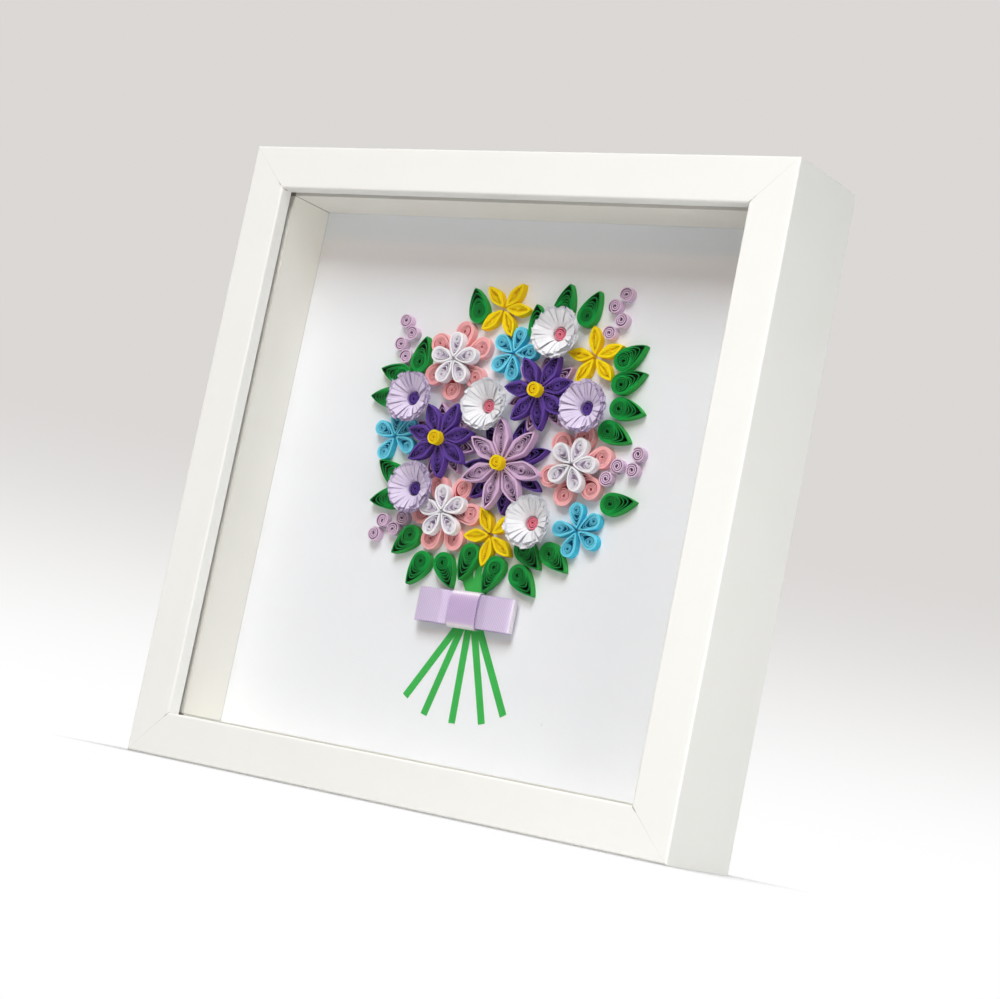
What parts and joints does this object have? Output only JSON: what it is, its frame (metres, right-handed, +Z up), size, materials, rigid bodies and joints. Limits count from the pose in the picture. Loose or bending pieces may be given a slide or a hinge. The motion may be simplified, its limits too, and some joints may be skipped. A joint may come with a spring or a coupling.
{
  "type": "framed quilled paper art",
  "caption": "Square white box frame with clear glazing over a quilled paper bouquet of coiled flowers and leaves on a white card, tied with a satin bow; stands on its base or hangs.",
  "frame": {"origin": "middle of the frame's underside", "axes": "+Z up, +X to the viewer's right, +Y from the glazing to the wall"},
  "size_m": [0.25, 0.045, 0.25],
  "materials": {
    "white_foil": "white foil-wrapped fibreboard, satin",
    "spacer_white": "white foil-wrapped fibreboard, matt",
    "glazing": "clear, polished",
    "card": "smooth white card",
    "hardboard": "brown hardboard",
    "steel": "zinc-plated",
    "green_paper": "plain quilling paper",
    "stem_paper": "plain quilling paper",
    "ribbon": "satin",
    "yellow_paper": "plain quilling paper",
    "blue_paper": "plain quilling paper",
    "salmon_paper": "plain quilling paper",
    "pink_paper": "plain quilling paper",
    "white_fringe_paper": "plain quilling paper",
    "white_paper": "plain quilling paper",
    "lilac_fringe_paper": "plain quilling paper",
    "lilac_paper": "plain quilling paper",
    "purple_paper": "plain quilling paper",
    "berry_paper": "plain quilling paper"
  },
  "bodies": {
    "root": {"back_panel": "hardboard", "background_card": "card", "blue_flower_1": "blue_paper", "blue_flower_2": "blue_paper", "blue_flower_3": "blue_paper", "bottom_rail": "white_foil", "bottom_spacer": "spacer_white", "bow_band": "ribbon", "bow_loop": "ribbon", "corner_nails": "steel", "glazing": "glazing", "hanger_rivets": "steel", "left_leaves": "green_paper", "left_rail": "white_foil", "left_spacer": "spacer_white", "lilac_flower": "lilac_paper", "lilac_fringe_1": "lilac_fringe_paper", "lilac_fringe_2": "lilac_fringe_paper", "lilac_fringe_3": "lilac_fringe_paper", "lilac_underflower_1": "lilac_paper", "lilac_underflower_2": "lilac_paper", "lower_leaves": "green_paper", "lower_left_berries": "berry_paper", "pink_centre_1": "pink_paper", "pink_centre_2": "pink_paper", "pink_centre_3": "pink_paper", "pink_flower_1": "salmon_paper", "pink_flower_2": "salmon_paper", "pink_flower_3": "salmon_paper", "purple_centre_1": "purple_paper", "purple_centre_2": "purple_paper", "purple_centre_3": "purple_paper", "purple_flower_1": "purple_paper", "purple_flower_2": "purple_paper", "purple_underflower": "purple_paper", "retaining_tabs": "steel", "right_berries": "berry_paper", "right_leaves": "green_paper", "right_rail": "white_foil", "right_spacer": "spacer_white", "sawtooth_hanger": "steel", "stem_leaves": "green_paper", "stems": "stem_paper", "top_leaves": "green_paper", "top_rail": "white_foil", "top_spacer": "spacer_white", "upper_left_berries": "berry_paper", "upper_right_berries": "berry_paper", "white_flower_1": "white_paper", "white_flower_2": "white_paper", "white_flower_3": "white_paper", "white_fringe_1": "white_fringe_paper", "white_fringe_2": "white_fringe_paper", "white_fringe_3": "white_fringe_paper", "yellow_centre_1": "yellow_paper", "yellow_centre_2": "yellow_paper", "yellow_centre_3": "yellow_paper", "yellow_flower_1": "yellow_paper", "yellow_flower_2": "yellow_paper", "yellow_flower_3": "yellow_paper"}
  },
  "joints": []
}
